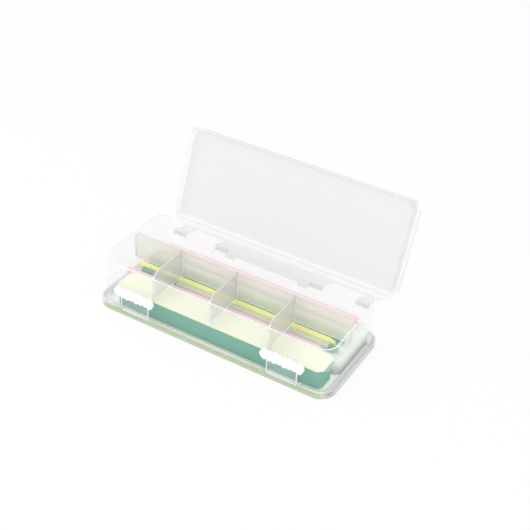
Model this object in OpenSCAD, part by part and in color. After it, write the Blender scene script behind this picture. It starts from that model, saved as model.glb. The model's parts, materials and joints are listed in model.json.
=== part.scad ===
// Two-deck storage box for pens and small art supplies.
// A clear case is open at the top and at the bottom, with a fixed floor at mid-height.
// One lid hinges over each side, both on the rear wall. The lower lid is held shut by
// two snap latches at the front. A comb of dividers splits the upper tray.
// Frame: +X to the right, +Y to the rear, +Z up, with the origin on the ground under
// the middle of the case. The upper lid stands open.

/* [Case] */
// Length of the case, wall to wall outside
case_length = 205; // [190:1:240]
// Depth of the case, front to back outside
case_depth = 83; // [78:1:110]
// Height of the rim above the ground
case_top = 43.4; // [42:0.2:52]
// Thickness of the walls
wall = 1.6; // [1.4:0.1:1.8]
// Outside radius of the upright corners
corner_radius = 12; // [10:0.5:13]
// Height of the upper face of the mid floor
floor_top = 21.9; // [21.4:0.1:23]
// Thickness of the mid floor
floor_thickness = 1.4; // [1.2:0.1:1.6]

/* [Lids] */
// How far each lid stands out past the case wall
lid_overhang = 2.4; // [2.4:0.1:2.8]
// Thickness of the lid panels and skirts
lid_skin = 1.4; // [1.2:0.1:1.4]
// Height of the skirt around each lid
skirt_height = 5.4; // [5.2:0.1:5.6]
// Width of the flat border around the raised panel of the upper lid
border_width = 6; // [5.8:0.1:6.2]
// How far the panel of the upper lid stands above its border
panel_rise = 3.4; // [3.2:0.1:4]
// Width of the thumb lip on the upper lid
lip_width = 30; // [20:1:40]

/* [Hinges] */
// Angle that the upper lid has turned from shut to its rear stop
open_angle = 109; // [100:1:112]
// Radius of the hinge pins
pin_radius = 1.1; // [0.9:0.1:1.2]
// Radius of the knuckles that turn on the pins
knuckle_radius = 2.4; // [2.2:0.1:2.6]
// Height of the upper lid's hinge axis
upper_axis_z = 24.6; // [24:0.2:26]
// Height of the lower lid's hinge axis
lower_axis_z = 8.6; // [8.6:0.1:9.4]
// Half of the width of the middle strap of the upper lid
strap_half = 50; // [40:1:56]

/* [Dividers] */
// Thickness of the divider plates
divider_thickness = 1.2; // [1:0.1:1.4]
// Height of the dividers' top edge above the ground
divider_top = 46.2; // [45:0.1:46.4]
// Where the long divider stands, front to back
divider_y = 1.5; // [-5:0.5:8]
// Number of cross dividers in the front half
cross_count = 3; // [3:1:3]

/* [Latches] */
// Distance of each latch's middle from the end of the case
latch_end = 36.5; // [33:0.5:42]
// Width of the latch plates
latch_width = 26.5; // [22:0.5:28]
// Height of the top edge of the latch plates
latch_top = 24.4; // [24.2:0.1:25]
// Width of the white grips
grip_width = 37; // [30:1:38]
// Height of the white grips
grip_height = 10.4; // [8:0.2:11]

/* [Contents] */
// Diameter of a pen
pen_width = 5.9; // [5:0.1:6]
// Room that a pen leaves along the inside of the case
pen_room = 23.8; // [22:0.1:40]
// Room that the card stack leaves along the inside of the case
stack_room = 18.8; // [18:0.1:40]
// Width of the card stack, front to back
stack_width = 21; // [16:0.5:21]
// Length of the paper pad under the pens
pad_length = 158; // [90:1:160]

/* [Hidden] */
$fn = 64;
tiny = 0.01;
sides = [-1, 1];

inside_length = case_length - 2 * wall;
inside_front = -case_depth / 2 + wall;
inside_rear = case_depth / 2 - wall;

// Bead around the case that the skirt of the lower lid closes up to
bead_height = 0.9;
bead_depth = 0.5;
bead_gap = 0.2;

// Lids and their fit on the case
seat_gap = 0.1;
lid_length = case_length + 2 * lid_overhang;
lid_depth = case_depth + 2 * lid_overhang;
lid_radius = corner_radius + lid_overhang - 0.9;
lid_seat = case_top + seat_gap;
case_bottom = lid_skin + seat_gap;
recess_length = lid_length - 2 * border_width;
recess_depth = lid_depth - 2 * border_width;
recess_radius = lid_radius - border_width;
rib_thickness = 1.2;
rib_drop = 1.6;
rib_height = 2.4;
rib_clearance = 0.6;
rib_rear = 14;
lip_drop = 1.4;
lip_bead = 0.3;

// Hinges
running_clearance = 0.05;
side_clearance = 0.4;
axis_y = case_depth / 2 + 4.8;
plate_thickness = 1.4;
plate_outer = lid_depth / 2 + 1;
lug_radius = 2.9;
lug_width = 4;
arm_end = 11.5;
arm_width = 11;
arm_outer = case_length / 2 - arm_end;
arm_inner = arm_outer - arm_width;
lower_arm_end = 30.5;
lower_arm_width = 14;
lower_arm_outer = case_length / 2 - lower_arm_end;
lower_arm_inner = lower_arm_outer - lower_arm_width;
strap_pin_depth = 12;
heel_x = 34;
heel_width = 8;
heel_depth = 2.6;
heel_gap = 0.1;

// Dividers
cross_pitch = case_length / 4;
cross_shift = -1;
divider_end = recess_length / 2 - 0.5;
cross_front = -case_depth / 2 + 3.5;
long_corner = 4;
cross_corner = 7;
slot_depth = 0.4;

// Latches
latch_x = case_length / 2 - latch_end;
latch_axis_y = -lid_depth / 2 + 0.7;
latch_axis_z = skirt_height - 1.3;
latch_knuckle = 1.3;
latch_pin_radius = 0.55;
latch_plate = 1.3;
latch_plate_rear = -lid_depth / 2 + lid_skin;
latch_corner = 3;
cheek_width = 3;
cheek_gap = 0.3;
catch_width = 20;
catch_height = 1.2;
catch_depth = 0.45;
hook_depth = 0.4;
hook_gap = 0.3;
grip_thickness = 1.5;
grip_z = 22.2;
lobe_count = 8;
lobe_radius = 2.3;
lobe_change = 0.4;

// Contents of the lower deck
content_gap = 0.2;
roof_gap = 0.4;
content_top = floor_top - floor_thickness - roof_gap;
content_bottom = lid_skin + content_gap;
card_thickness = 0.9;
stack_length = inside_length - stack_room;
stack_x = 3;
stack_front_gap = 2.6;
stack_y = inside_front + stack_front_gap + stack_width / 2;
stack_corner = 6;
card_margin = 0.8;
bottom_margin = 0.5;
pen_length = inside_length - pen_room;
pen_pitch = pen_width + 0.43;
pen_first_gap = 1.05;
pen_front_y = stack_y + stack_width / 2 + pen_first_gap + pen_pitch / 2;
pen_rear_gap = 5.5;
pen_rear_y = inside_rear - pen_rear_gap;
pen_tip = 5;
pen_tip_radius = 1.6;
cap_length = 34;
cap_wall = 0.6;
pad_gap = 0.1;
pad_front = stack_y + stack_width / 2 + card_margin + 0.3;
pad_rear = inside_rear - 2.4;
pad_right = inside_length / 2 - 2.6;
pad_corner = 6;

PEN_NAMES = ["pen_pink_front", "pen_green", "pen_yellow", "pen_dark_green", "pen_olive",
             "pen_rose", "pen_pink_rear"];
PEN_COLOURS = ["pink", "seagreen", "yellow", "darkgreen", "olivedrab", "lightpink", "hotpink"];
// Place of each pen in pen widths, counted from the front pen for the front group and
// from the rear pen for the others, and its shift along the case
FRONT_PENS = 5;
PEN_STEPS = [0, 1, 2, 3, 4, -1, 0];
PEN_SHIFTS = [-6, 3, -3, 2, -2, 0, 1];

// ---------- outlines and helpers ----------

// Rectangle with round corners, centred
module rounded(length, depth, radius) {
    square([length - 2 * radius, depth], center = true);
    square([length, depth - 2 * radius], center = true);
    for (x = sides, y = sides)
        translate([x * (length / 2 - radius), y * (depth / 2 - radius)]) circle(radius);
}

// Wall of even thickness inside such a rectangle
module ring(length, depth, radius, thickness) {
    difference() {
        rounded(length, depth, radius);
        rounded(length - 2 * thickness, depth - 2 * thickness, radius - thickness);
    }
}

// Raises a plan outline from one height to another
module upright(z0, z1) {
    translate([0, 0, z0]) linear_extrude(z1 - z0) children();
}

// Extrudes a side view, drawn as (y, z), from x0 to x1
module along_x(x0, x1) {
    translate([x0, 0, 0]) rotate([90, 0, 90]) linear_extrude(x1 - x0) children();
}

// Extrudes a front view, drawn as (x, z), from y0 to y1
module along_y(y0, y1) {
    translate([0, y1, 0]) rotate([90, 0, 0]) linear_extrude(y1 - y0) children();
}

// Round bar along X
module bar_x(x0, x1, y, z, radius) {
    translate([x0, y, z]) rotate([0, 90, 0]) cylinder(r = radius, h = x1 - x0);
}

// Upper lid parts are drawn shut, then turned open about their hinge
module opened() {
    translate([0, axis_y, upper_axis_z]) rotate([-open_angle, 0, 0])
        translate([0, -axis_y, -upper_axis_z]) children();
}

// ---------- case ----------

// Block on the rear wall that holds one end of a hinge pin
module hinge_lug(x0, z) {
    along_x(x0, x0 + lug_width) {
        translate([case_depth / 2 - wall * 0.75, z - lug_radius])
            square([axis_y - case_depth / 2 + wall * 0.75, 2 * lug_radius]);
        translate([axis_y, z]) circle(lug_radius);
    }
}

module pin_bore(x0, x1, z) {
    bar_x(x0 - tiny, x1 + tiny, axis_y, z, pin_radius);
}

// Left edge of each lug on the right-hand side, with its height
function lug_places() = [
    [strap_half + side_clearance, upper_axis_z],
    [arm_inner - side_clearance - lug_width, upper_axis_z],
    [arm_outer + side_clearance, upper_axis_z],
    [lower_arm_inner - side_clearance - lug_width, lower_axis_z],
    [lower_arm_outer + side_clearance, lower_axis_z]];

module hinge_lugs() {
    for (place = lug_places()) {
        difference() {
            hinge_lug(place[0], place[1]);
            pin_bore(place[0], place[0] + lug_width, place[1]);
        }
        difference() {
            hinge_lug(-place[0] - lug_width, place[1]);
            pin_bore(-place[0] - lug_width, -place[0], place[1]);
        }
    }
}

// Ridge on the front wall that a latch snaps over
module catch_ridge(side) {
    along_x(side * latch_x - catch_width / 2, side * latch_x + catch_width / 2)
        translate([-case_depth / 2 - catch_depth, floor_top - 1])
            square([catch_depth + wall / 2, catch_height]);
}

module case_shell() color([0.93, 0.95, 0.95, 0.35]) {
    upright(case_bottom, case_top) ring(case_length, case_depth, corner_radius, wall);
    upright(floor_top - floor_thickness, floor_top)
        rounded(case_length - wall, case_depth - wall, corner_radius - wall / 2);
    upright(skirt_height + bead_gap, skirt_height + bead_gap + bead_height)
        ring(case_length + 2 * bead_depth, case_depth + 2 * bead_depth,
             corner_radius + bead_depth, bead_depth + wall / 2);
    hinge_lugs();
    for (side = sides) catch_ridge(side);
}

// ---------- lids ----------

// Hole in which a hinge pin turns freely
module running_bore(x0, x1, z) {
    bar_x(x0, x1, axis_y, z, pin_radius + running_clearance);
}

// Knuckle and plate of one arm of the upper lid, shut
module upper_arm(x0, x1) {
    along_x(x0, x1) {
        translate([axis_y, upper_axis_z]) circle(knuckle_radius);
        translate([plate_outer - plate_thickness, upper_axis_z])
            square([plate_thickness, lid_seat - upper_axis_z]);
    }
}

// Heel that meets the rear wall when the lid is open, drawn shut
module stop_heel(x) {
    translate([0, axis_y, upper_axis_z]) rotate([open_angle, 0, 0])
        along_x(x - heel_width / 2, x + heel_width / 2)
            translate([case_depth / 2 - axis_y + heel_gap, -heel_depth])
                square([axis_y - case_depth / 2 - heel_gap, heel_depth]);
}

// Rib that enters the case inside its wall, left open at the rear
module plug_rib(z0, z1) {
    rib_length = case_length - 2 * (wall + rib_clearance);
    rib_depth = case_depth - 2 * (wall + rib_clearance);
    intersection() {
        upright(z0, z1)
            ring(rib_length, rib_depth, corner_radius - wall - rib_clearance, rib_thickness);
        translate([-lid_length / 2, -lid_depth / 2, z0])
            cube([lid_length, lid_depth - rib_rear, z1 - z0]);
    }
}

module upper_lid() color([0.93, 0.95, 0.95, 0.35]) opened() difference() {
    union() {
        // Border and the skirt around it
        upright(lid_seat, lid_seat + lid_skin) difference() {
            rounded(lid_length, lid_depth, lid_radius);
            rounded(recess_length, recess_depth, recess_radius);
        }
        upright(lid_seat + lid_skin - skirt_height, lid_seat + lid_skin)
            ring(lid_length, lid_depth, lid_radius, lid_skin);
        // Raised panel and the step up to it
        upright(lid_seat, lid_seat + panel_rise + lid_skin)
            ring(recess_length + 2 * lid_skin, recess_depth + 2 * lid_skin,
                 recess_radius + lid_skin, lid_skin);
        upright(lid_seat + panel_rise, lid_seat + panel_rise + lid_skin)
            rounded(recess_length + lid_skin, recess_depth + lid_skin, recess_radius + lid_skin / 2);
        plug_rib(lid_seat - rib_drop, lid_seat + lid_skin / 2);
        // Thumb lip with a bead inside the front skirt
        along_x(-lip_width / 2, lip_width / 2)
            translate([-lid_depth / 2, lid_seat + lid_skin - skirt_height - lip_drop])
                square([lid_skin, lip_drop + lid_skin]);
        along_x(-lip_width / 2, lip_width / 2)
            translate([-lid_depth / 2 - lip_bead, lid_seat + lid_skin - skirt_height])
                square([lip_bead + lid_skin / 2, lid_skin]);
        // Strap and end arms down to the hinge
        upper_arm(-strap_half, strap_half);
        upper_arm(arm_inner, arm_outer);
        upper_arm(-arm_outer, -arm_inner);
        for (side = sides) stop_heel(side * heel_x);
    }
    running_bore(strap_half - strap_pin_depth, strap_half + 1, upper_axis_z);
    running_bore(-strap_half - 1, -strap_half + strap_pin_depth, upper_axis_z);
    running_bore(arm_inner - 1, arm_outer + 1, upper_axis_z);
    running_bore(-arm_outer - 1, -arm_inner + 1, upper_axis_z);
}

// Knuckle and short arm of the lower lid
module lower_arm(x0, x1) {
    along_x(x0, x1) {
        translate([axis_y, lower_axis_z]) circle(knuckle_radius);
        translate([lid_depth / 2 - lid_skin, 0])
            square([lid_skin + 1, lower_axis_z]);
        translate([lid_depth / 2, lower_axis_z - knuckle_radius])
            square([axis_y - lid_depth / 2, knuckle_radius]);
    }
}

// Place for one latch: a notch in the skirt with a cheek at each end
module latch_notch(side) {
    half = latch_width / 2 + cheek_gap;
    along_x(side * latch_x - half, side * latch_x + half)
        translate([-lid_depth / 2 - 1, latch_axis_z - latch_knuckle - cheek_gap])
            square([lid_skin + 2, skirt_height]);
}

module latch_cheeks(side) {
    half = latch_width / 2 + cheek_gap;
    for (x = [side * latch_x - half - cheek_width, side * latch_x + half])
        bar_x(x, x + cheek_width, latch_axis_y, latch_axis_z, latch_knuckle);
}

module lower_lid() color([0.9, 0.93, 0.93, 0.35]) difference() {
    union() {
        upright(0, lid_skin) rounded(lid_length, lid_depth, lid_radius);
        difference() {
            upright(0, skirt_height) ring(lid_length, lid_depth, lid_radius, lid_skin);
            for (side = sides) latch_notch(side);
        }
        plug_rib(lid_skin / 2, lid_skin + rib_height);
        for (side = sides) latch_cheeks(side);
        lower_arm(lower_arm_inner, lower_arm_outer);
        lower_arm(-lower_arm_outer, -lower_arm_inner);
    }
    running_bore(lower_arm_inner - 1, lower_arm_outer + 1, lower_axis_z);
    running_bore(-lower_arm_outer - 1, -lower_arm_inner + 1, lower_axis_z);
    for (side = sides) latch_pin_bar(side, 1);
}

// ---------- hinge pins ----------

// Pin on one side of the box, given the distances of its ends from the middle
module pin(side, inner, outer, z) color("whitesmoke")
    bar_x(side > 0 ? inner : -outer, side > 0 ? outer : -inner, axis_y, z, pin_radius);

module strap_pin(side)
    pin(side, strap_half - strap_pin_depth + side_clearance,
        strap_half + side_clearance + lug_width, upper_axis_z);

// Pins that pass through an arm have a lug at both ends
module arm_pin(side)
    pin(side, arm_inner - side_clearance - lug_width,
        arm_outer + side_clearance + lug_width, upper_axis_z);

module lower_pin(side)
    pin(side, lower_arm_inner - side_clearance - lug_width,
        lower_arm_outer + side_clearance + lug_width, lower_axis_z);

// ---------- dividers ----------

// Front view of a plate whose upper corners are round, from a to b
module arched(a, b, z0, z1, radius_a, radius_b) {
    difference() {
        translate([a, z0]) square([b - a, z1 - z0]);
        if (radius_a > 0) difference() {
            translate([a - tiny, z1 - radius_a]) square(radius_a + tiny);
            translate([a + radius_a, z1 - radius_a]) circle(radius_a);
        }
        if (radius_b > 0) difference() {
            translate([b - radius_b, z1 - radius_b]) square(radius_b + tiny);
            translate([b - radius_b, z1 - radius_b]) circle(radius_b);
        }
    }
}

function cross_x(index) = (index - (cross_count + 1) / 2) * cross_pitch + cross_shift;

module long_divider() color([0.88, 0.92, 0.87, 0.6]) {
    front = divider_y - divider_thickness / 2;
    difference() {
        along_y(front, front + divider_thickness)
            arched(-divider_end, divider_end, floor_top, divider_top, long_corner, long_corner);
        for (index = [1 : cross_count])
            translate([cross_x(index) - divider_thickness / 2, front - 1, floor_top - 1])
                cube([divider_thickness, 1 + slot_depth, divider_top]);
    }
}

module cross_divider(index) color([0.88, 0.92, 0.87, 0.6]) {
    rear = divider_y - divider_thickness / 2 + slot_depth;
    along_x(cross_x(index) - divider_thickness / 2, cross_x(index) + divider_thickness / 2)
        arched(cross_front, rear, floor_top, divider_top, cross_corner, 0);
}

// ---------- latches ----------

module latch(side) color([0.9, 0.93, 0.93, 0.45]) difference() {
    x0 = side * latch_x - latch_width / 2;
    union() {
        bar_x(x0, x0 + latch_width, latch_axis_y, latch_axis_z, latch_knuckle);
        along_y(latch_plate_rear - latch_plate, latch_plate_rear)
            arched(x0, x0 + latch_width, latch_axis_z, latch_top, latch_corner, latch_corner);
        // Hook above the catch ridge
        along_x(side * latch_x - catch_width / 2, side * latch_x + catch_width / 2)
            translate([latch_plate_rear - tiny, floor_top - 1 + catch_height + hook_gap])
                square([hook_depth + tiny, catch_height]);
    }
    bar_x(x0 - 1, x0 + latch_width + 1, latch_axis_y, latch_axis_z,
          latch_pin_radius + running_clearance);
}

// Bar of the latch pin's size, longer at each end by the allowance
module latch_pin_bar(side, allowance) {
    half = latch_width / 2 + cheek_gap + cheek_width + allowance;
    bar_x(side * latch_x - half, side * latch_x + half, latch_axis_y, latch_axis_z,
          latch_pin_radius);
}

module latch_pin(side) color("whitesmoke") latch_pin_bar(side, 0);

// Row of round lobes along an edge of the grip, each a little different
module lobes(z) {
    step = (grip_width - 2 * lobe_radius - 3) / (lobe_count - 1);
    for (index = [0 : lobe_count - 1])
        translate([-(lobe_count - 1) * step / 2 + index * step, z])
            circle(lobe_radius + lobe_change * sin(index * 140 + z * 60), $fn = 32);
}

module latch_grip(side) color("white") {
    rise = grip_height / 2 - lobe_radius - lobe_change;
    translate([side * latch_x, 0, grip_z])
        along_y(latch_plate_rear - latch_plate - grip_thickness, latch_plate_rear - latch_plate) {
            square([grip_width - grip_height * 0.8, 2 * rise], center = true);
            for (x = sides)
                translate([x * (grip_width - grip_height * 0.8) / 2, 0]) circle(grip_height * 0.4);
            lobes(rise);
            lobes(-rise);
        }
}

// ---------- contents of the lower deck ----------

module card_layer(z0, z1, margin) {
    translate([stack_x, stack_y, 0]) upright(z0, z1)
        rounded(stack_length + 2 * margin, stack_width + 2 * margin, stack_corner);
}

module card_stack() color("teal")
    card_layer(content_bottom + card_thickness, content_top - card_thickness, 0);

module card_top() color("greenyellow")
    card_layer(content_top - card_thickness, content_top, card_margin);

module card_bottom() color("greenyellow")
    card_layer(content_bottom, content_bottom + card_thickness, bottom_margin);

// Pad that lies on the lower lid and carries the pens
module paper_pad() color("palegreen")
    translate([pad_right - pad_length / 2, (pad_front + pad_rear) / 2, 0])
        upright(content_bottom, content_top - pen_width - pad_gap)
            rounded(pad_length, pad_rear - pad_front, pad_corner);

function pen_y(index) =
    (index < FRONT_PENS ? pen_front_y : pen_rear_y) + PEN_STEPS[index] * pen_pitch;
function pen_z() = content_top - pen_width / 2;

// Round bar or cone on the pen's own axis
module on_axis(x0, x1, r0, r1) {
    translate([x0, 0, 0]) rotate([0, 90, 0]) cylinder(r1 = r0, r2 = r1, h = x1 - x0);
}

function pen_start(index) = PEN_SHIFTS[index] - pen_length / 2;

// Pen with a tapered end. A capped pen has a round neck that fills its cap.
module pen(index, capped) color(PEN_COLOURS[index])
    translate([pen_start(index), pen_y(index), pen_z()]) {
        radius = pen_width / 2;
        taper = pen_length - pen_tip;
        on_axis(capped ? cap_length : 0, taper, radius, radius);
        on_axis(taper, pen_length, radius, pen_tip_radius);
        if (capped) on_axis(cap_wall, cap_length, radius - cap_wall, radius - cap_wall);
    }

module pen_green_cap() color("darkgreen")
    translate([pen_start(1), pen_y(1), pen_z()]) difference() {
        on_axis(0, cap_length, pen_width / 2, pen_width / 2);
        on_axis(cap_wall, cap_length + 1, pen_width / 2 - cap_wall, pen_width / 2 - cap_wall);
    }

// ---------- drawing ----------

case_shell();
upper_lid();
lower_lid();
long_divider();
cross_divider(1);  // cross_divider_1
cross_divider(2);  // cross_divider_2
cross_divider(3);  // cross_divider_3
latch(-1);  // latch_left
latch(1);  // latch_right
latch_grip(-1);  // latch_grip_left
latch_grip(1);  // latch_grip_right
latch_pin(-1);  // latch_pin_left
latch_pin(1);  // latch_pin_right
strap_pin(-1);  // strap_pin_left
strap_pin(1);  // strap_pin_right
arm_pin(-1);  // arm_pin_left
arm_pin(1);  // arm_pin_right
lower_pin(-1);  // lower_pin_left
lower_pin(1);  // lower_pin_right
card_stack();
card_top();
card_bottom();
paper_pad();
pen_green_cap();
for (index = [0 : len(PEN_NAMES) - 1])
    pen(index, PEN_NAMES[index] == "pen_green");
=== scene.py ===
"""Dresses the two-deck art supply box: clear mouldings, white grips, pens and cards."""
import json
import logging
import math
from dataclasses import dataclass
from enum import Enum

import bmesh
import bpy
from mathutils import Matrix, Vector


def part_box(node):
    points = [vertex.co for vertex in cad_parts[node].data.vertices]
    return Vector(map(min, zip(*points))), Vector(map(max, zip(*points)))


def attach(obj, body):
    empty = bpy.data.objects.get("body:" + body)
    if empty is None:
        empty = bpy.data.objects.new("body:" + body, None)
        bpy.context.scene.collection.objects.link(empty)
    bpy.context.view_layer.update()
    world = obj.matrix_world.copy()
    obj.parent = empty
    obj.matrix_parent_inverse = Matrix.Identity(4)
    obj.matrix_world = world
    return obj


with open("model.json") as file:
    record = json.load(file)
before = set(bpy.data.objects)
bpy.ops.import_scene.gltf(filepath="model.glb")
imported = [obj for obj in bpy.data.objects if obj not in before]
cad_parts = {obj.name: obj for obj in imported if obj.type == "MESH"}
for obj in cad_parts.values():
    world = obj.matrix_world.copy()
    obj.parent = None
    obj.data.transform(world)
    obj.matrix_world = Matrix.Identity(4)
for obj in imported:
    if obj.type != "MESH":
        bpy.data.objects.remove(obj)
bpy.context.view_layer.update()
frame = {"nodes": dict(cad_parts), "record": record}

MM = 0.001
CLEAR_LAYERS = 48  # a ray from the front crosses more clear walls than the usual limit of 8
WELD_GAP = 0.01 * MM
Colour = tuple[float, float, float]
Vec = tuple[float, float, float]
RIGHT: Vec = (1.0, 0.0, 0.0)
LEFT: Vec = (-1.0, 0.0, 0.0)
REAR: Vec = (0.0, 1.0, 0.0)
FRONT: Vec = (0.0, -1.0, 0.0)
UP: Vec = (0.0, 0.0, 1.0)
DOWN: Vec = (0.0, 0.0, -1.0)
WHITE: Colour = (1.0, 1.0, 1.0)
CROSS_DIVIDERS = (1, 2, 3)
log = logging.getLogger("art_supply_box")


class Side(Enum):
    """The end of the box that a latch is near."""

    LEFT = "left"
    RIGHT = "right"


def grey(level: float) -> Colour:
    """Gives a neutral colour, or one value for a zone of the alpha."""
    return level, level, level


# ---------- node tree helpers ----------


def add_node(tree: bpy.types.NodeTree, kind: str, **values: object) -> bpy.types.Node:
    """Adds a node and sets its properties and input sockets.

    Args:
        tree: The node tree to add to.
        kind: The node's type, such as "ShaderNodeMath".
        **values: Properties by name, or input sockets by "in_" and their name or number.

    Returns:
        The new node.
    """
    node = tree.nodes.new(kind)
    for name, value in values.items():
        if name.startswith("in_"):
            socket = name.removeprefix("in_")
            node.inputs[int(socket) if socket.isdigit() else socket.title()].default_value = value
        else:
            setattr(node, name, value)
    return node


def new_group(name: str, inputs: dict[str, float | Colour],
              outputs: dict[str, str]) -> tuple[bpy.types.NodeTree, dict, dict]:
    """Makes an empty shader node group with named sockets.

    Args:
        name: The group's name.
        inputs: Each input's name with its default, a number or a colour.
        outputs: Each output's name with its socket type.

    Returns:
        The group, its input sockets by name and its output sockets by name.
    """
    tree = bpy.data.node_groups.new(name, "ShaderNodeTree")
    for label, value in inputs.items():
        kind = "NodeSocketColor" if isinstance(value, tuple) else "NodeSocketFloat"
        socket = tree.interface.new_socket(name=label, in_out="INPUT", socket_type=kind)
        socket.default_value = (*value, 1.0) if isinstance(value, tuple) else value
    for label, kind in outputs.items():
        tree.interface.new_socket(name=label, in_out="OUTPUT", socket_type=kind)
    start = tree.nodes.new("NodeGroupInput")
    end = tree.nodes.new("NodeGroupOutput")
    return tree, {k: start.outputs[k] for k in inputs}, {k: end.inputs[k] for k in outputs}


def place_group(tree: bpy.types.NodeTree, group: bpy.types.NodeTree,
                **values: float | Colour) -> bpy.types.Node:
    """Places a group in a material with its own values.

    Args:
        tree: The material's node tree.
        group: The group to place.
        **values: Input values by socket name, with underscores for spaces.

    Returns:
        The group node.
    """
    node = add_node(tree, "ShaderNodeGroup", node_tree=group)
    for label, value in values.items():
        socket = node.inputs[label.replace("_", " ")]
        socket.default_value = (*value, 1.0) if isinstance(value, tuple) else value
    return node


# ---------- shared effects ----------


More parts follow.
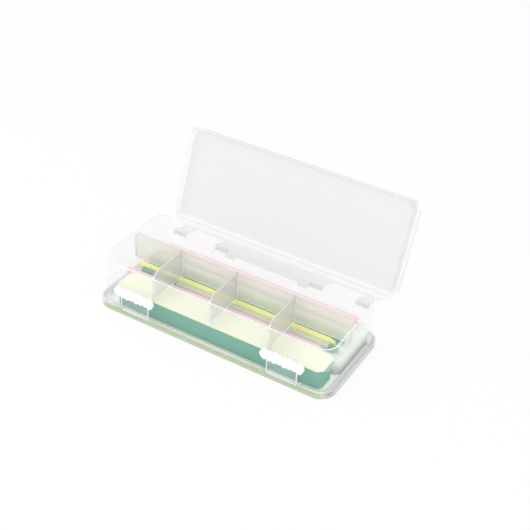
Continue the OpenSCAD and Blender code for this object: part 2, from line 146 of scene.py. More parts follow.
class Effects:
    """The shader node groups that more than one finish uses."""

    def __init__(self) -> None:
        """Builds every group once."""
        self.haze = self._haze()
        self.grain = self._grain()
        self.sheets = self._sheets()
        self.zone = self._zone()

    @staticmethod
    def _haze() -> bpy.types.NodeTree:
        """Cloudy flow marks of a clear moulding.

        Returns:
            A group that varies colour and roughness.
        """
        tree, given, out = new_group(
            "moulding_haze",
            {"Clear": grey(0.9), "Cloudy": grey(0.8), "Scale": 30.0, "Roughness": 0.1,
             "Spread": 0.05},
            {"Color": "NodeSocketColor", "Roughness": "NodeSocketFloat"})
        place = add_node(tree, "ShaderNodeTexCoord")
        drift = add_node(tree, "ShaderNodeTexNoise", in_detail=3.0, in_roughness=0.55)
        colour = add_node(tree, "ShaderNodeMix", data_type="RGBA")
        spread = add_node(tree, "ShaderNodeMath", operation="MULTIPLY_ADD")
        link = tree.links.new
        link(place.outputs["Object"], drift.inputs["Vector"])
        link(given["Scale"], drift.inputs["Scale"])
        link(drift.outputs["Fac"], colour.inputs["Factor"])
        link(given["Clear"], colour.inputs["A"])
        link(given["Cloudy"], colour.inputs["B"])
        link(drift.outputs["Fac"], spread.inputs[0])
        link(given["Spread"], spread.inputs[1])
        link(given["Roughness"], spread.inputs[2])
        link(colour.outputs["Result"], out["Color"])
        link(spread.outputs[0], out["Roughness"])
        return tree

    @staticmethod
    def _grain() -> bpy.types.NodeTree:
        """Fine pitting of an opaque moulding with a slow change of shade.

        Returns:
            A group that varies colour and roughness and gives a height.
        """
        tree, given, out = new_group(
            "moulding_grain",
            {"Base": grey(0.5), "Shade": grey(0.4), "Scale": 900.0, "Roughness": 0.3,
             "Spread": 0.1},
            {"Color": "NodeSocketColor", "Roughness": "NodeSocketFloat",
             "Height": "NodeSocketFloat"})
        place = add_node(tree, "ShaderNodeTexCoord")
        pits = add_node(tree, "ShaderNodeTexNoise", in_detail=2.0)
        slow = add_node(tree, "ShaderNodeTexNoise", in_scale=90.0, in_detail=2.0)
        colour = add_node(tree, "ShaderNodeMix", data_type="RGBA")
        spread = add_node(tree, "ShaderNodeMath", operation="MULTIPLY_ADD")
        link = tree.links.new
        link(place.outputs["Object"], pits.inputs["Vector"])
        link(place.outputs["Object"], slow.inputs["Vector"])
        link(given["Scale"], pits.inputs["Scale"])
        link(slow.outputs["Fac"], colour.inputs["Factor"])
        link(given["Base"], colour.inputs["A"])
        link(given["Shade"], colour.inputs["B"])
        link(pits.outputs["Fac"], spread.inputs[0])
        link(given["Spread"], spread.inputs[1])
        link(given["Roughness"], spread.inputs[2])
        link(colour.outputs["Result"], out["Color"])
        link(spread.outputs[0], out["Roughness"])
        link(pits.outputs["Fac"], out["Height"])
        return tree

    @staticmethod
    def _sheets() -> bpy.types.NodeTree:
        """Edges of many thin sheets lying on each other.

        Returns:
            A group with a mask of the sheet lines, stacked along Z.
        """
        tree, given, out = new_group(
            "stacked_sheets", {"Pitch": 0.0006, "Waver": 0.2},
            {"Mask": "NodeSocketFloat"})
        place = add_node(tree, "ShaderNodeTexCoord")
        split = add_node(tree, "ShaderNodeSeparateXYZ")
        waver = add_node(tree, "ShaderNodeTexNoise", in_scale=60.0, in_detail=1.0)
        steps = add_node(tree, "ShaderNodeMath", operation="DIVIDE")
        shift = add_node(tree, "ShaderNodeMath", operation="MULTIPLY_ADD")
        wave = add_node(tree, "ShaderNodeMath", operation="PINGPONG", in_1=1.0)
        link = tree.links.new
        link(place.outputs["Object"], split.inputs[0])
        link(place.outputs["Object"], waver.inputs["Vector"])
        link(split.outputs["Z"], steps.inputs[0])
        link(given["Pitch"], steps.inputs[1])
        link(waver.outputs["Fac"], shift.inputs[0])
        link(given["Waver"], shift.inputs[1])
        link(steps.outputs[0], shift.inputs[2])
        link(shift.outputs[0], wave.inputs[0])
        link(wave.outputs[0], out["Mask"])
        return tree

    @staticmethod
    def _zone() -> bpy.types.NodeTree:
        """Another colour in one zone of a piece, past a plane across one direction.

        Returns:
            A group that lays a colour, which may change with height, over the one below.
        """
        tree, given, out = new_group(
            "colour_zone",
            {"Under": WHITE, "Low": WHITE, "High": WHITE, "Along X": 0.0, "Along Y": 0.0,
             "Along Z": 0.0, "Start": 0.0, "End": 1.0, "Low Z": 0.0, "High Z": 1.0},
            {"Color": "NodeSocketColor"})
        place = add_node(tree, "ShaderNodeTexCoord")
        split = add_node(tree, "ShaderNodeSeparateXYZ")
        axis = add_node(tree, "ShaderNodeCombineXYZ")
        along = add_node(tree, "ShaderNodeVectorMath", operation="DOT_PRODUCT")
        inside = add_node(tree, "ShaderNodeMapRange", interpolation_type="SMOOTHSTEP")
        height = add_node(tree, "ShaderNodeMapRange", interpolation_type="SMOOTHSTEP")
        colour = add_node(tree, "ShaderNodeMix", data_type="RGBA")
        result = add_node(tree, "ShaderNodeMix", data_type="RGBA")
        link = tree.links.new
        link(place.outputs["Object"], split.inputs[0])
        link(place.outputs["Object"], along.inputs[0])
        link(given["Along X"], axis.inputs[0])
        link(given["Along Y"], axis.inputs[1])
        link(given["Along Z"], axis.inputs[2])
        link(axis.outputs[0], along.inputs[1])
        link(along.outputs["Value"], inside.inputs[0])
        link(given["Start"], inside.inputs[1])
        link(given["End"], inside.inputs[2])
        link(split.outputs["Z"], height.inputs[0])
        link(given["Low Z"], height.inputs[1])
        link(given["High Z"], height.inputs[2])
        link(height.outputs[0], colour.inputs["Factor"])
        link(given["Low"], colour.inputs["A"])
        link(given["High"], colour.inputs["B"])
        link(inside.outputs[0], result.inputs["Factor"])
        link(given["Under"], result.inputs["A"])
        link(colour.outputs["Result"], result.inputs["B"])
        link(result.outputs["Result"], out["Color"])
        return tree


def blank_material(name: str) -> tuple[bpy.types.NodeTree, bpy.types.Node, bpy.types.Material]:
    """Makes a node material that holds only a Principled BSDF and the output.

    Args:
        name: The material's name.

    Returns:
        The node tree, the Principled BSDF and the material.
    """
    material = bpy.data.materials.new(name)
    material.use_nodes = True
    tree = material.node_tree
    return tree, tree.nodes["Principled BSDF"], material


def add_relief(tree: bpy.types.NodeTree, shader: bpy.types.Node,
               height: bpy.types.NodeSocket, strength: float, depth: float = 0.1 * MM) -> None:
    """Feeds a height through a Bump node into a shader's normal.

    Args:
        tree: The material's node tree.
        shader: The shader that takes the normal.
        height: The socket that gives the height.
        strength: The bump's strength, from 0 to 1.
        depth: The bump's distance in metres.
    """
    bump = add_node(tree, "ShaderNodeBump")
    bump.inputs["Strength"].default_value = strength
    bump.inputs["Distance"].default_value = depth
    tree.links.new(height, bump.inputs["Height"])
    tree.links.new(bump.outputs[0], shader.inputs["Normal"])


@dataclass(frozen=True)
class Zone:
    """A place on a piece with a colour of its own, past a plane across one direction.

    Attributes:
        axis: The direction across the plane.
        start: How far along the direction the zone begins to show, in metres.
        end: How far along it the zone shows in full.
        low: Its colour, or its colour at low_z.
        high: Its colour at high_z, where that differs.
        low_z: The height of the low colour.
        high_z: The height of the high colour.
    """

    axis: Vec
    start: float
    end: float
    low: Colour
    high: Colour | None = None
    low_z: float = 0.0
    high_z: float = 1.0

    def lay_over(self, tree: bpy.types.NodeTree, effects: Effects,
                 under: bpy.types.NodeSocket | Colour) -> bpy.types.NodeSocket:
        """Lays the zone's colour over another colour.

        Args:
            tree: The material's node tree.
            effects: The shared node groups.
            under: The colour below, a socket or the same colour all over.

        Returns:
            The socket that gives the new colour.
        """
        node = place_group(tree, effects.zone, Low=self.low, High=self.high or self.low,
                           Along_X=self.axis[0], Along_Y=self.axis[1], Along_Z=self.axis[2],
                           Start=self.start, End=self.end, Low_Z=self.low_z, High_Z=self.high_z)
        if isinstance(under, tuple):
            node.inputs["Under"].default_value = (*under, 1.0)
        else:
            tree.links.new(under, node.inputs["Under"])
        return node.outputs["Color"]


def lay_zones(tree: bpy.types.NodeTree, effects: Effects, under: bpy.types.NodeSocket | Colour,
              zones: tuple[Zone, ...], target: bpy.types.NodeSocket) -> None:
    """Feeds a colour or a value, with the zones over it, into a shader's socket.

    Args:
        tree: The material's node tree.
        effects: The shared node groups.
        under: What lies below the zones, a socket or the same colour all over.
        zones: The zones, from the lowest to the topmost.
        target: The shader's socket.
    """
    for zone in zones:
        under = zone.lay_over(tree, effects, under)
    tree.links.new(under, target)


@dataclass(frozen=True)
class ClearFinish:
    """Clear or frosted polypropylene.

    Attributes:
        name: The material's name.
        clear: The colour of its haze where it is clearest.
        cloudy: The colour of its haze in the flow marks.
        alpha: How much of the haze hides what is behind it.
        roughness: The least roughness.
        spread: How much the flow marks add to the roughness.
        scale: How many flow marks there are to a metre.
        ior: How strongly the surface reflects.
        coat: The weight of the gloss on top.
        coat_roughness: The roughness of that gloss.
        zones: Places with another colour.
        alpha_zones: Places with another alpha.
    """

    name: str
    clear: Colour
    cloudy: Colour
    alpha: float
    roughness: float = 0.08
    spread: float = 0.06
    scale: float = 28.0
    ior: float = 1.3
    coat: float = 0.4
    coat_roughness: float = 0.08
    zones: tuple[Zone, ...] = ()
    alpha_zones: tuple[Zone, ...] = ()

    def build(self, effects: Effects) -> bpy.types.Material:
        """Makes the material.

        Args:
            effects: The shared node groups.

        Returns:
            The new material.
        """
        tree, shader, material = blank_material(self.name)
        haze = place_group(tree, effects.haze, Clear=self.clear, Cloudy=self.cloudy,
                           Scale=self.scale, Roughness=self.roughness, Spread=self.spread)
        lay_zones(tree, effects, haze.outputs["Color"], self.zones, shader.inputs["Base Color"])
        tree.links.new(haze.outputs["Roughness"], shader.inputs["Roughness"])
        if self.alpha_zones:
            lay_zones(tree, effects, grey(self.alpha), self.alpha_zones, shader.inputs["Alpha"])
        else:
            shader.inputs["Alpha"].default_value = self.alpha
        shader.inputs["IOR"].default_value = self.ior
        shader.inputs["Coat Weight"].default_value = self.coat
        shader.inputs["Coat Roughness"].default_value = self.coat_roughness
        return material


@dataclass(frozen=True)
class MouldedFinish:
    """Opaque moulded plastic with fine grain, whose colour varies between base and shade."""

    name: str
    base: Colour
    shade: Colour
    roughness: float = 0.3
    spread: float = 0.12
    grain: float = 900.0
    relief: float = 0.1
    coat: float = 0.0
    zones: tuple[Zone, ...] = ()

    def build(self, effects: Effects) -> bpy.types.Material:
        """Makes the material.

        Args:
            effects: The shared node groups.

        Returns:
            The new material.
        """
        tree, shader, material = blank_material(self.name)
        grain = place_group(tree, effects.grain, Base=self.base, Shade=self.shade,
                            Scale=self.grain, Roughness=self.roughness, Spread=self.spread)
        lay_zones(tree, effects, grain.outputs["Color"], self.zones, shader.inputs["Base Color"])
        tree.links.new(grain.outputs["Roughness"], shader.inputs["Roughness"])
        add_relief(tree, shader, grain.outputs["Height"], self.relief)
        shader.inputs["Coat Weight"].default_value = self.coat
        return material


@dataclass(frozen=True)
class CardFinish:
    """A stack of matt coloured card whose sides show the sheets, with wavering lines."""

    name: str
    face: Colour
    line: Colour
    pitch: float = 0.7 * MM
    waver: float = 0.5
    relief: float = 0.3
    roughness: float = 0.75
    zones: tuple[Zone, ...] = ()

    def build(self, effects: Effects) -> bpy.types.Material:
        """Makes the material.

        Args:
            effects: The shared node groups.

        Returns:
            The new material.
        """
        tree, shader, material = blank_material(self.name)
        sheets = place_group(tree, effects.sheets, Pitch=self.pitch, Waver=self.waver)
        colour = add_node(tree, "ShaderNodeMix", data_type="RGBA")
        colour.inputs["A"].default_value = (*self.line, 1.0)
        colour.inputs["B"].default_value = (*self.face, 1.0)
        tree.links.new(sheets.outputs["Mask"], colour.inputs["Factor"])
        lay_zones(tree, effects, colour.outputs["Result"], self.zones,
                  shader.inputs["Base Color"])
        add_relief(tree, shader, sheets.outputs["Mask"], self.relief)
        shader.inputs["Roughness"].default_value = self.roughness
        return material


# ---------- geometry helpers ----------


def soften(node: bpy.types.Object, width: float, segments: int = 3,
           angle: float = math.radians(40)) -> None:
    """Rounds a CAD node's edges with modifiers, leaving its own mesh as it is.

    Args:
        node: The CAD node's object.
        width: The width of the rounding in metres.
        segments: How many steps the rounding has.
        angle: Edges sharper than this are rounded.
    """
    weld = node.modifiers.new("weld", "WELD")
    weld.merge_threshold = WELD_GAP
    bevel = node.modifiers.new("round_edges", "BEVEL")
    bevel.width = width
    bevel.segments = segments
    bevel.limit_method = "ANGLE"
    bevel.angle_limit = angle
    bevel.harden_normals = False
    for face in node.data.polygons:
        face.use_smooth = True
    normals = node.modifiers.new("even_normals", "WEIGHTED_NORMAL")
    normals.keep_sharp = True


def dress(names: list[str], material: bpy.types.Material, width: float = 0.0) -> None:
    """Gives CAD nodes a material and soft edges.

    Args:
        names: The nodes' names.
        material: The material for all of them.
        width: The rounding of their edges in metres, or 0 for none.
    """
    for name in names:
        node = frame["nodes"][name]
        node.data.materials.clear()
        node.data.materials.append(material)
        if width:
            soften(node, width)
        log.info("dressed %s with %s", name, material.name)


def sweep(name: str, path: list[Vector], radius: float, sides: int = 10) -> bpy.types.Object:
    """Sweeps a round section along a path, with a flat cap at each end.

    Args:
        name: The new object's name.
        path: The points of the path in metres.
        radius: The section's radius in metres.
        sides: How many sides the section has.

    Returns:
        The new mesh object, linked to the scene.
    """
    mesh = bpy.data.meshes.new(name)
    shape = bmesh.new()
    turns = [2 * math.pi * step / sides for step in range(sides)]
    rings: list[list[bmesh.types.BMVert]] = []
    side = None
    for index, point in enumerate(path):
        before, after = path[max(index - 1, 0)], path[min(index + 1, len(path) - 1)]
        along = (after - before).normalized()
        if side is None:
            side = along.orthogonal().normalized()
        side = (side - along * side.dot(along)).normalized()
        up = along.cross(side)
        spokes = [side * math.cos(turn) + up * math.sin(turn) for turn in turns]
        rings.append([shape.verts.new(point + spoke * radius) for spoke in spokes])
    for first, second in zip(rings, rings[1:]):
        for step in range(sides):
            shape.faces.new((first[step], first[(step + 1) % sides],
                             second[(step + 1) % sides], second[step]))
    shape.faces.new(reversed(rings[0]))
    shape.faces.new(rings[-1])
    bmesh.ops.recalc_face_normals(shape, faces=shape.faces)
    shape.to_mesh(mesh)
    shape.free()
    for face in mesh.polygons:
        face.use_smooth = True
    piece = bpy.data.objects.new(name, mesh)
    bpy.context.scene.collection.objects.link(piece)
    return piece


def arc(centre: tuple[float, float], radius: float, start: float, end: float,
        steps: int = 10) -> list[tuple[float, float]]:
    """Lists points along a circular arc in a plane.

    Args:
        centre: The arc's centre.
        radius: The arc's radius.
        start: The first point's angle in degrees.
        end: The last point's angle in degrees.
        steps: How many pieces the arc has.

    Returns:
        The points, the first and the last included.
    """
    turns = [math.radians(start + (end - start) * step / steps) for step in range(steps + 1)]
    return [(centre[0] + radius * math.cos(t), centre[1] + radius * math.sin(t)) for t in turns]


def round_loop(half_x: float, half_y: float, radius: float) -> list[tuple[float, float]]:
    """Lists points around a rectangle with round corners, centred on the origin.

    Args:
        half_x: Half of its length.
        half_y: Half of its depth.
        radius: The radius of its corners.

    Returns:
        The points, without the first one repeated.
    """
    x, y = half_x - radius, half_y - radius
    return (arc((x, y), radius, 0, 90) + arc((-x, y), radius, 90, 180)
            + arc((-x, -y), radius, 180, 270) + arc((x, -y), radius, 270, 360))


# ---------- studio ----------


@dataclass(frozen=True)
class Lamp:
    """A square lamp that faces the middle of the floor, with its size in metres."""

    name: str
    place: Vec
    size: float
    power: float

    def build(self) -> None:
        """Makes the lamp."""
        data = bpy.data.lights.new(self.name, "AREA")
        data.size = self.size
        data.energy = self.power
        lamp = bpy.data.objects.new(self.name, data)
        lamp.location = self.place
        lamp.rotation_mode = "QUATERNION"
        lamp.rotation_quaternion = (-Vector(self.place)).to_track_quat("-Z", "Y")
        bpy.context.scene.collection.objects.link(lamp)


@dataclass
class Studio:
    """Floor, lamps, world and camera. The lens and its sensor are in millimetres."""

    aim: Vec = (0.0, 41 * MM, 30 * MM)
    azimuth: float = math.radians(29.06)
    elevation: float = math.radians(35.37)
    distance: float = 826.7 * MM
    roll: float = math.radians(3.48)
    lens: float = 70.34
    sensor: float = 36.0
    nearest: float = 0.05
    furthest: float = 20.0
    floor_size: float = 6.0
    floor_colour: Colour = grey(0.92)
    floor_roughness: float = 0.9
    world_light: float = 0.82
    backdrop_share: float = 0.86
    key: Lamp = Lamp("key", (-0.55, -0.35, 0.9), size=0.8, power=3.0)
    fill: Lamp = Lamp("fill", (0.8, -0.5, 0.7), size=0.9, power=2.5)

    def build(self) -> None:
        """Makes every part of the studio."""
        self._world()
        self._floor()
        self.key.build()
        self.fill.build()
        self._camera()

    @staticmethod
    def _seen_directly(tree: bpy.types.NodeTree) -> bpy.types.NodeSocket:
        """Finds the rays that show the backdrop: from the camera, a mirror or glass.

        Args:
            tree: The tree to add the nodes to.

        Returns:
            A socket that is 1 for those rays and 0 for the others.
        """
        path = add_node(tree, "ShaderNodeLightPath")
        first = add_node(tree, "ShaderNodeMath", operation="MAXIMUM")
        second = add_node(tree, "ShaderNodeMath", operation="MAXIMUM")
        tree.links.new(path.outputs["Is Camera Ray"], first.inputs[0])
        tree.links.new(path.outputs["Is Glossy Ray"], first.inputs[1])
        tree.links.new(first.outputs[0], second.inputs[0])
        tree.links.new(path.outputs["Is Transmission Ray"], second.inputs[1])
        return second.outputs[0]

    def _world(self) -> None:
        """Even white light, with a plain white backdrop."""
        world = bpy.data.worlds.new("white_room")
        bpy.context.scene.world = world
        world.use_nodes = True
        tree = world.node_tree
        background = tree.nodes["Background"]
        strength = add_node(tree, "ShaderNodeMix", data_type="FLOAT")
        strength.inputs["A"].default_value = self.world_light
        strength.inputs["B"].default_value = 1.0
        tree.links.new(self._seen_directly(tree), strength.inputs["Factor"])
        tree.links.new(strength.outputs["Result"], background.inputs["Strength"])
        background.inputs["Color"].default_value = (*WHITE, 1.0)

    def _floor(self) -> None:
        """A white floor that keeps a soft shadow."""
        bpy.ops.mesh.primitive_plane_add(size=self.floor_size, location=(0.0, 0.0, 0.0))
        floor = bpy.context.object
        floor.name = "floor"
        tree, shader, material = blank_material("floor_white")
        shader.inputs["Base Color"].default_value = (*self.floor_colour, 1.0)
        shader.inputs["Roughness"].default_value = self.floor_roughness
        glow = add_node(tree, "ShaderNodeEmission")
        share = add_node(tree, "ShaderNodeMath", operation="MULTIPLY", in_1=self.backdrop_share)
        mix = add_node(tree, "ShaderNodeMixShader")
        tree.links.new(self._seen_directly(tree), share.inputs[0])
        tree.links.new(share.outputs[0], mix.inputs[0])
        tree.links.new(shader.outputs[0], mix.inputs[1])
        tree.links.new(glow.outputs[0], mix.inputs[2])
        tree.links.new(mix.outputs[0], tree.nodes["Material Output"].inputs["Surface"])
        floor.data.materials.append(material)
        log.info("added %s", floor.name)

    def _camera(self) -> None:
        """The camera at the viewing angle, turned by its small roll."""
        back = Vector((math.sin(self.azimuth) * math.cos(self.elevation),
                       -math.cos(self.azimuth) * math.cos(self.elevation),
                       math.sin(self.elevation)))
        data = bpy.data.cameras.new("view")
        data.lens = self.lens
        data.sensor_width = self.sensor
        data.clip_start = self.nearest
        data.clip_end = self.furthest
        camera = bpy.data.objects.new("view", data)
        turn = (-back).to_track_quat("-Z", "Y").to_matrix().to_4x4()
        place = Vector(self.aim) + back * self.distance
        camera.matrix_world = (Matrix.Translation(place) @ turn
                               @ Matrix.Rotation(self.roll, 4, "Z"))
        bpy.context.scene.collection.objects.link(camera)
        bpy.context.scene.camera = camera


# ---------- the box ----------


@dataclass(frozen=True)
class BoxSizes:
    """Sizes of the box that the finishes and the edge cores follow.

    The cheeks beside a latch stand out from the lower lid's skirt by cheek_reach. The zones and
    cores of the long sides are laid out from a line that lies inside the lids by side_inset.
    """

    lid_overhang: float = 2.4 * MM
    lid_skin: float = 1.4 * MM
    lid_corner: float = 13.5 * MM
    skirt_height: float = 5.4 * MM
    case_corner: float = 12 * MM
    case_wall: float = 1.6 * MM
    cheek_reach: float = 0.6 * MM
    side_inset: float = 0.8 * MM
    open_angle: float = math.radians(109)

    @property
    def hinge(self) -> Vector:
        """The middle of the upper lid's hinge."""
        joint = next(j for j in frame["record"]["behaviour"]["joints"]
                     if j["name"] == "upper_lid_hinge")
        return Vector(joint["pos_m"])

    @property
    def lid_half(self) -> tuple[float, float]:
        """Half a lid's length, and half the depth between the lines of its long sides."""
        low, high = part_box("lower_lid")
        return (high[0] - low[0]) / 2, -low[1] - (self.cheek_reach + self.side_inset)

    @property
    def case_top(self) -> float:
        """The height of the case's rim."""
        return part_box("case_shell")[1][2]

    @property
    def lid_up(self) -> Vec:
        """The direction from the hinge side to the front of the open lid."""
        return tuple(self._turn() @ Vector(FRONT))

    def lid_reach(self, y: float) -> float:
        """Finds how far a line across the closed lid's seat lies along lid_up, once open.

        Args:
            y: Where the line lies on the closed lid, front to back.

        Returns:
            The distance in metres.
        """
        point = Vector((0.0, y, self.case_top))
        opened = self.hinge + self._turn() @ (point - self.hinge)
        return opened.dot(Vector(self.lid_up))

    def _turn(self) -> Matrix:
        """Gives the rotation that opens the upper lid."""
        return Matrix.Rotation(-self.open_angle, 3, "X")


@dataclass(frozen=True)
class LidZones:
    """Zones of the open upper lid with painted light and shade: a painted highlight border with
    thin painted shade lines, and painted shade on the hinge arms.

    Attributes:
        sizes: The box's sizes.
        border: The width of the painted highlight border along both ends and the front.
        border_fade: How far its inner side fades either way.
        rim_inner: Where the painted shade of the dark rim on the right end begins, inward from that
            end.
        rim_outer: Where it shows in full.
        line_inner: The inner side of the thin painted shade line along the left end and the front.
        line_outer: Its outer side.
        line_fade: How soft its sides are.
        line_shade: The grey of the painted shade on the dark rim and the thin line.
        step_border: Where the painted highlight border of the hinge side begins, from its rear.
        step_inner: The inner side of the painted shade line along the step in it.
        step_outer: Its outer side.
        step_fade: How soft the sides along the step are.
        step_shade: The grey of the step's painted shade line.
        arm_start: How far in front of the border's rear the painted shade of the arms begins.
        arm_full: How far behind it the grey shows in full.
        arm_shade: The grey of the painted shade on the strap and the arms.
        arm_alpha: Their alpha.
    """

    sizes: BoxSizes
    border: float = 3.6 * MM
    border_fade: float = 0.6 * MM
    rim_inner: float = 1.2 * MM
    rim_outer: float = 0.2 * MM
    line_inner: float = 2.9 * MM
    line_outer: float = 2.2 * MM
    line_fade: float = 0.5 * MM
    line_shade: Colour = grey(0.6)
    step_border: float = 6.6 * MM
    step_inner: float = 4.6 * MM
    step_outer: float = 3.5 * MM
    step_fade: float = 0.9 * MM
    step_shade: Colour = grey(0.66)
    arm_start: float = 0.2 * MM
    arm_full: float = 0.6 * MM
    arm_shade: Colour = grey(0.64)
    arm_alpha: Colour = grey(0.22)

    def around(self) -> tuple[Zone, ...]:
        """Gives the painted highlight border, with the thin painted shade lines of its rim and its
        step.

        Returns:
            The zones, from the lowest to the topmost.
        """
        half_x, half_y = self.sizes.lid_half
        up = self.sizes.lid_up
        top, rear = self.sizes.lid_reach(-half_y), self.sizes.lid_reach(half_y)
        sides = ((RIGHT, half_x), (LEFT, half_x), (up, top))
        # Painted highlight: a white border inside the right end, the left end and the front.
        light = [Zone(axis, edge - self.border - self.border_fade,
                      edge - self.border + self.border_fade, WHITE) for axis, edge in sides]
        # Painted shade: a dark rim along the right end.
        rim = Zone(RIGHT, half_x - self.rim_inner, half_x - self.rim_outer, self.line_shade)
        # Painted shade lines along the left end and the front, each with a painted highlight line
        # outside it.
        line = [Zone(axis, edge - inset - self.line_fade, edge - inset, shade)
                for axis, edge in sides[1:]
                for inset, shade in ((self.line_inner, self.line_shade), (self.line_outer, WHITE))]
        # Along the hinge side: painted highlight, then a painted shade line, then painted highlight
        # again.
        step = [Zone(up, rear + reach, rear + reach - self.step_fade, shade)
                for reach, shade in ((self.step_border, WHITE), (self.step_inner, self.step_shade),
                                     (self.step_outer, WHITE))]
        return (*light, rim, *line, *step)

    def arms(self, value: Colour) -> Zone:
        """Gives the painted shade of the strap and the arms, behind the border.

        Args:
            value: Their colour, or their alpha as a grey.

        Returns:
            One zone for all of them.
        """
        rear = self.sizes.lid_reach(self.sizes.lid_half[1])
        return Zone(self.sizes.lid_up, rear + self.arm_start, rear - self.arm_full, value)


@dataclass(frozen=True)
class SkirtZones:
    """Zones of the lower lid's skirt: the tint of the cards, shaded ends and a clearer top.

    Attributes:
        sizes: The box's sizes.
        front_start: Where the painted light of the front begins, inward from the front.
        front_full: Where it shows in full.
        end_start: Where the painted shade of an end begins, inward from that end.
        low: The height of the low colours of the painted light and shade.
        high: How far above the skirt the height of their high colours is.
        top_start: Where the clearer top begins, below the skirt's edge.
        top_full: Where it is clearest.
        top_alpha: Its alpha.
    """

    sizes: BoxSizes
    front_start: float = 3.4 * MM
    front_full: float = 1.4 * MM
    end_start: float = 8 * MM
    low: float = 0.5 * MM
    high: float = 0.6 * MM
    top_start: float = 1.6 * MM
    top_full: float = 0.4 * MM
    top_alpha: Colour = grey(0.25)

    def painted_light_and_shade(self) -> tuple[Zone, ...]:
        """Gives the painted light of the cards gathered in the front, and the painted shade on the
        ends.

        Returns:
            The zones of the front, the right end and the left end.
        """
        half_x, half_y = self.sizes.lid_half
        start, full = half_x - self.end_start, half_x - self.sizes.lid_overhang
        heights = {"low_z": self.low, "high_z": self.sizes.skirt_height + self.high}
        # Painted light of the lime cards on the front, then painted shade on the right end and on
        # the left end.
        return (Zone(FRONT, half_y - self.front_start, half_y - self.front_full,
                     low=(0.24, 0.36, 0.03), high=(0.78, 0.9, 0.7), **heights),
                Zone(RIGHT, start, full, low=(0.28, 0.26, 0.3), high=(0.55, 0.55, 0.56), **heights),
                Zone(LEFT, start, full, low=grey(0.72), high=grey(0.8), **heights))

    def top(self) -> Zone:
        """Gives the top of the skirt, which has nothing behind it."""
        edge = self.sizes.skirt_height
        return Zone(UP, edge - self.top_start, edge - self.top_full, self.top_alpha)


@dataclass
class ClearMouldings:
    """Case, lids, dividers and latch plates.

    Attributes:
        sizes: The box's sizes.
        lug_front: How far in front of the hinge line the case's lugs begin.
        lug_fade: The width over which the case gets clearer there.
        lug_alpha: The alpha of the lugs.
        bright_front: The width of the painted highlight along a cross divider's front edge.
        bright_fade: The width over which that painted highlight fades in.
        bright_alpha: The alpha of that painted highlight.
    """

    sizes: BoxSizes
    lug_front: float = 2.2 * MM
    lug_fade: float = 0.5 * MM
    lug_alpha: Colour = grey(0.04)
    bright_front: float = 1 * MM
    bright_fade: float = 0.8 * MM
    bright_alpha: Colour = grey(0.75)

    def build(self, effects: Effects) -> None:
        """Dresses the clear parts.

        Args:
            effects: The shared node groups.
        """
        dress(["case_shell"], self._case().build(effects))
        dress(["upper_lid"], self._upper_lid().build(effects))
        dress(["lower_lid"], self._lower_lid().build(effects))
        # The long divider's haze is greyer than the case's white: painted shade.
        plate = ClearFinish("divider_clear", clear=(0.87, 0.88, 0.8), cloudy=(0.9, 0.91, 0.83),
                            alpha=0.45, roughness=0.3)
        dress(["long_divider"], plate.build(effects))
        dress([f"cross_divider_{index}" for index in CROSS_DIVIDERS],
              self._cross_divider().build(effects))
        latch = ClearFinish("latch_clear", WHITE, WHITE, alpha=0.09)
        dress([f"latch_{side.value}" for side in Side], latch.build(effects))

    def _case(self) -> ClearFinish:
        """Gives the case's finish, clearest in the hinge lugs."""
        lug = self.sizes.hinge.y - self.lug_front
        return ClearFinish("case_clear", WHITE, grey(0.98), alpha=0.11,
                           alpha_zones=(Zone(REAR, lug - self.lug_fade, lug, self.lug_alpha),))

    def _upper_lid(self) -> ClearFinish:
        """Gives the upper lid's finish: a panel greyed with painted shade, a painted highlight
        border and arms greyer with painted shade.
        """
        lid = LidZones(self.sizes)
        # The panel's grey haze is painted shade on the same clear plastic as the case.
        return ClearFinish("lid_clear", grey(0.74), grey(0.68), alpha=0.2,
                           zones=(*lid.around(), lid.arms(lid.arm_shade)),
                           alpha_zones=(lid.arms(lid.arm_alpha),))

    def _lower_lid(self) -> ClearFinish:
        """Gives the lower lid's finish, with the painted light and shade of its skirt."""
        skirt = SkirtZones(self.sizes)
        return ClearFinish("lower_lid_clear", WHITE, grey(0.97), alpha=0.4, zones=skirt.painted_light_and_shade(),
                           alpha_zones=(skirt.top(),))

    def _cross_divider(self) -> ClearFinish:
        """Gives the cross dividers' frosted finish, greyed with painted shade, with a painted
        highlight, white and denser, along the front edge.

        Returns:
            One finish for all of them.
        """
        edge = -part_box("cross_divider_1")[0][1] - self.bright_front
        start = edge - self.bright_fade
        # The grey haze is painted shade; the white zone along the front is a painted highlight.
        return ClearFinish("cross_painted_shade_and_highlight", clear=(0.71, 0.71, 0.7), cloudy=(0.76, 0.76, 0.74),
                           alpha=0.46, roughness=0.3, zones=(Zone(FRONT, start, edge, WHITE),),
                           alpha_zones=(Zone(FRONT, start, edge, self.bright_alpha),))


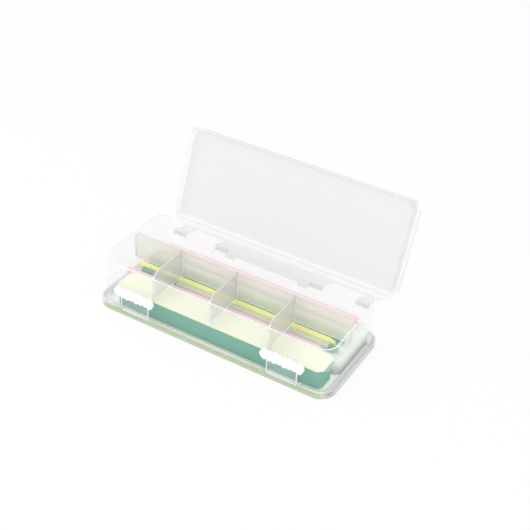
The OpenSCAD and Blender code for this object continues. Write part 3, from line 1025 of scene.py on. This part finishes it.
@dataclass
class BrightEdges:
    """Narrow white cores along the edges of the clear mouldings: painted highlights for the light
    that these edges gather.

    Attributes:
        sizes: The box's sizes.
        rim: The radius of the core in the case's rim.
        plate: The radius of the cores in the dividers and the latches.
        foot: The radius of the cores on the faces of the dividers, along their joints.
        skirt: The radius of the cores in the lower lid's skirt.
        inset: How far a plate's core lies inside its outline.
        skin: The height of clear plastic left above a core in a rim or a skirt.
        foot_end: How far inside its ends the core along the long divider's foot stops.
        slot: How far a cross divider reaches into the long one.
        latch_depth: How far behind its knuckle's front a latch's core lies, on the plate's face.
        latch_foot: How far above its foot a latch plate's core begins.
        latch_gap: The room between a latch and the skirt's cores.
        long_corner: The radius of the long divider's corners.
        cross_corner: The radius of a cross divider's corner.
        latch_corner: The radius of a latch plate's corners.
        finish: The painted highlight finish of every core, made by build.
    """

    sizes: BoxSizes
    rim: float = 0.38 * MM
    plate: float = 0.5 * MM
    foot: float = 0.3 * MM
    skirt: float = 0.4 * MM
    inset: float = 0.6 * MM
    skin: float = 0.1 * MM
    foot_end: float = 1 * MM
    slot: float = 0.4 * MM
    latch_depth: float = 0.65 * MM
    latch_foot: float = 2 * MM
    latch_gap: float = 0.6 * MM
    long_corner: float = 4 * MM
    cross_corner: float = 7 * MM
    latch_corner: float = 3 * MM
    finish: bpy.types.Material | None = None

    def build(self, effects: Effects) -> None:
        """Makes the cores of every clear moulding.

        Args:
            effects: The shared node groups.
        """
        # One opaque white finish: every core is a painted highlight.
        self.finish = MouldedFinish("edge_painted_highlight", grey(0.97), grey(0.95), roughness=0.4,
                                    relief=0.0).build(effects)
        self._case_rim()
        self._long_plate()
        for index in CROSS_DIVIDERS:
            self._cross_plate(index)
        for side in Side:
            self._latch(side)
        self._skirt()

    def _add(self, name: str, path: list[Vector], radius: float, body: str) -> None:
        """Makes one painted highlight core and ties it to its body.

        Args:
            name: The piece's name.
            path: The points along it.
            radius: Its radius in metres.
            body: The body that it rides on.
        """
        piece = sweep(name, path, radius)
        piece.data.materials.append(self.finish)
        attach(piece, body)
        log.info("added %s", name)

    def _case_rim(self) -> None:
        """The rim of the case, from one rear corner round the front to the other."""
        inset = self.sizes.lid_overhang + self.sizes.case_wall / 2
        half_x, half_y = (half - inset for half in self.sizes.lid_half)
        height = self.sizes.case_top - self.rim - self.skin
        loop = round_loop(half_x, half_y, self.sizes.case_corner - self.sizes.case_wall / 2)
        rear_left = len(loop) // 4
        path = loop[rear_left:] + loop[:rear_left]
        self._add("rim_highlight", [Vector((x, y, height)) for x, y in path], self.rim, "case")

    def _arch(self, low: Vec, high: Vec, y: float, foot: float, corner: float) -> list[Vector]:
        """Lists points up one side of a plate, along its top and down the other side.

        Args:
            low: The low corner of the plate's box.
            high: The high corner of the plate's box.
            y: Where the points lie, front to back.
            foot: How far above the plate's foot they begin and end.
            corner: The radius of the plate's corners.

        Returns:
            The points.
        """
        left, right, top = low[0] + self.inset, high[0] - self.inset, high[2] - self.inset
        radius = corner - self.inset
        outline = [(left, low[2] + foot), *arc((left + radius, top - radius), radius, 180, 90),
                   *arc((right - radius, top - radius), radius, 90, 0), (right, low[2] + foot)]
        return [Vector((x, y, z)) for x, z in outline]

    def _long_plate(self) -> None:
        """The top and the ends of the long divider, and its foot."""
        low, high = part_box("long_divider")
        path = self._arch(low, high, (low[1] + high[1]) / 2, self.inset, self.long_corner)
        self._add("long_divider_highlight", path, self.plate, "case")
        ends = [Vector((x, low[1], low[2] + self.foot))
                for x in (low[0] + self.foot_end, high[0] - self.foot_end)]
        self._add("long_divider_foot_highlight", ends, self.foot, "case")

    def _cross_plate(self, index: int) -> None:
        """The front and the top of a cross divider, its foot and its rear joint.

        Args:
            index: The divider's number from the left.
        """
        low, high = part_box(f"cross_divider_{index}")
        x = (low[0] + high[0]) / 2
        front, top = low[1] + self.inset, high[2] - self.inset
        radius = self.cross_corner - self.inset
        outline = ([(front, low[2] + self.inset)]
                   + arc((front + radius, top - radius), radius, 180, 90) + [(high[1], top)])
        self._add(f"cross_divider_highlight_{index}", [Vector((x, y, z)) for y, z in outline],
                  self.plate, "case")
        rear = high[1] - self.slot - self.foot
        joint = [Vector((high[0], front, low[2] + self.foot)),
                 Vector((high[0], rear, low[2] + self.foot)),
                 Vector((high[0], rear, top))]
        self._add(f"cross_divider_foot_highlight_{index}", joint, self.foot, "case")

    def _latch(self, side: Side) -> None:
        """The two sides and the top of a latch plate.

        Args:
            side: The end of the box that the latch is near.
        """
        name = f"latch_{side.value}"
        low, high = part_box(name)
        path = self._arch(low, high, low[1] + self.latch_depth, self.latch_foot,
                          self.latch_corner)
        self._add(f"latch_highlight_{side.value}", path, self.plate, name)

    def _skirt(self) -> None:
        """The upper edge of the lower lid's skirt, broken at the latches."""
        inset = self.sizes.lid_skin / 2
        half_x, half_y = (half - inset for half in self.sizes.lid_half)
        radius = self.sizes.lid_corner - inset
        height = self.sizes.skirt_height - self.skirt - self.skin
        latches = [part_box(f"latch_{side.value}") for side in Side]
        gaps = [(low[0] - self.latch_gap, high[0] + self.latch_gap) for low, high in latches]
        loop = round_loop(half_x, half_y, radius)
        front_right = 3 * len(loop) // 4
        rest = loop[front_right:] + loop[:front_right - 1]
        outer = [(gaps[1][1], -half_y)] + rest + [(gaps[0][0], -half_y)]
        middle = [(gaps[0][1], -half_y), (gaps[1][0], -half_y)]
        for name, path in (("skirt_highlight_outer", outer), ("skirt_highlight_middle", middle)):
            self._add(name, [Vector((x, y, height)) for x, y in path], self.skirt, "lower_lid")


@dataclass
class WhiteTrim:
    """White latch grips, and hinge pins in natural plastic."""

    edge: float = 0.3 * MM

    def build(self, effects: Effects) -> None:
        """Dresses the grips and the pins.

        Args:
            effects: The shared node groups.
        """
        grip = MouldedFinish("grip_white", grey(0.97), grey(0.94), coat=0.3)
        pin = ClearFinish("pin_natural", WHITE, grey(0.98), alpha=0.07)
        dress([f"latch_grip_{side.value}" for side in Side], grip.build(effects), self.edge)
        dress([name for name in frame["nodes"] if "_pin_" in name], pin.build(effects))


@dataclass
class DeckContents:
    """Pens, cards and the pad in the lower deck.

    Attributes:
        edge: The width of the rounding of the pens' edges.
        tip: The length of the green pen's dark tip.
        tip_fade: The width over which the tip gets dark.
        line: How far above the top card's underside its yellow line is full.
        line_fade: The height over which that line fades.
    """

    edge: float = 0.4 * MM
    tip: float = 8 * MM
    tip_fade: float = 0.5 * MM
    line: float = 0.3 * MM
    line_fade: float = 0.6 * MM

    def build(self, effects: Effects) -> None:
        """Dresses the contents.

        Args:
            effects: The shared node groups.
        """
        self._pens(effects)
        self._cards(effects)

    def _pens(self, effects: Effects) -> None:
        """Dresses the pens, each in its own colour.

        Args:
            effects: The shared node groups.
        """
        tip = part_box("pen_green")[1][0] - self.tip
        green_tip = Zone(RIGHT, tip, tip + self.tip_fade, (0.05, 0.3, 0.2))
        pens = {
            "pen_pink_front": ("pen_pink", (1.0, 0.68, 0.74), (1.0, 0.64, 0.7)),
            "pen_green": ("pen_grey_green", (0.62, 0.68, 0.52), (0.56, 0.62, 0.46)),
            "pen_green_cap": ("pen_cap_green", (0.12, 0.33, 0.24), (0.08, 0.28, 0.2)),
            "pen_yellow": ("pen_yellow", (1.0, 1.0, 0.3), (0.98, 1.0, 0.26)),
            "pen_dark_green": ("pen_dark_green", (0.1, 0.42, 0.24), (0.07, 0.36, 0.2)),
            "pen_olive": ("pen_olive", (0.6, 0.74, 0.3), (0.54, 0.67, 0.26)),
            "pen_rose": ("pen_rose", (0.99, 0.78, 0.83), (0.95, 0.72, 0.78)),
            "pen_pink_rear": ("pen_pink_rear", (1.0, 0.7, 0.77), (0.96, 0.64, 0.72)),
        }
        for node, (name, base, shade) in pens.items():
            zones = (green_tip,) if node == "pen_green" else ()
            finish = MouldedFinish(name, base, shade, coat=0.2, zones=zones)
            dress([node], finish.build(effects), self.edge)

    def _cards(self, effects: Effects) -> None:
        """Dresses the cards and the pad.

        Args:
            effects: The shared node groups.
        """
        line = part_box("card_top")[0][2] + self.line
        pad_low, pad_high = (corner[2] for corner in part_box("paper_pad"))
        yellow_line = Zone(DOWN, -line - self.line_fade, -line, (0.75, 0.95, 0.3))
        pad_shadow = Zone(DOWN, -pad_high, -pad_low, (0.45, 0.6, 0.45))
        teal = CardFinish("card_teal", (0.03, 0.4, 0.28), (0.02, 0.35, 0.24))
        lime = CardFinish("card_lime", (0.97, 1.0, 0.76), (0.96, 1.0, 0.72), zones=(yellow_line,))
        pad = CardFinish("pad_green", (0.93, 0.98, 0.92), (0.86, 0.94, 0.85), zones=(pad_shadow,))
        dress(["card_stack"], teal.build(effects))
        dress(["paper_pad"], pad.build(effects))
        dress(["card_top", "card_bottom"], lime.build(effects))


def main() -> None:
    """Builds the studio and dresses the box."""
    logging.basicConfig(level=logging.INFO)
    bpy.context.scene.view_settings.view_transform = "Standard"
    bpy.context.scene.cycles.transparent_max_bounces = CLEAR_LAYERS
    effects = Effects()
    Studio().build()
    sizes = BoxSizes()
    ClearMouldings(sizes).build(effects)
    BrightEdges(sizes).build(effects)
    WhiteTrim().build(effects)
    DeckContents().build(effects)


if __name__ == "__main__":
    main()
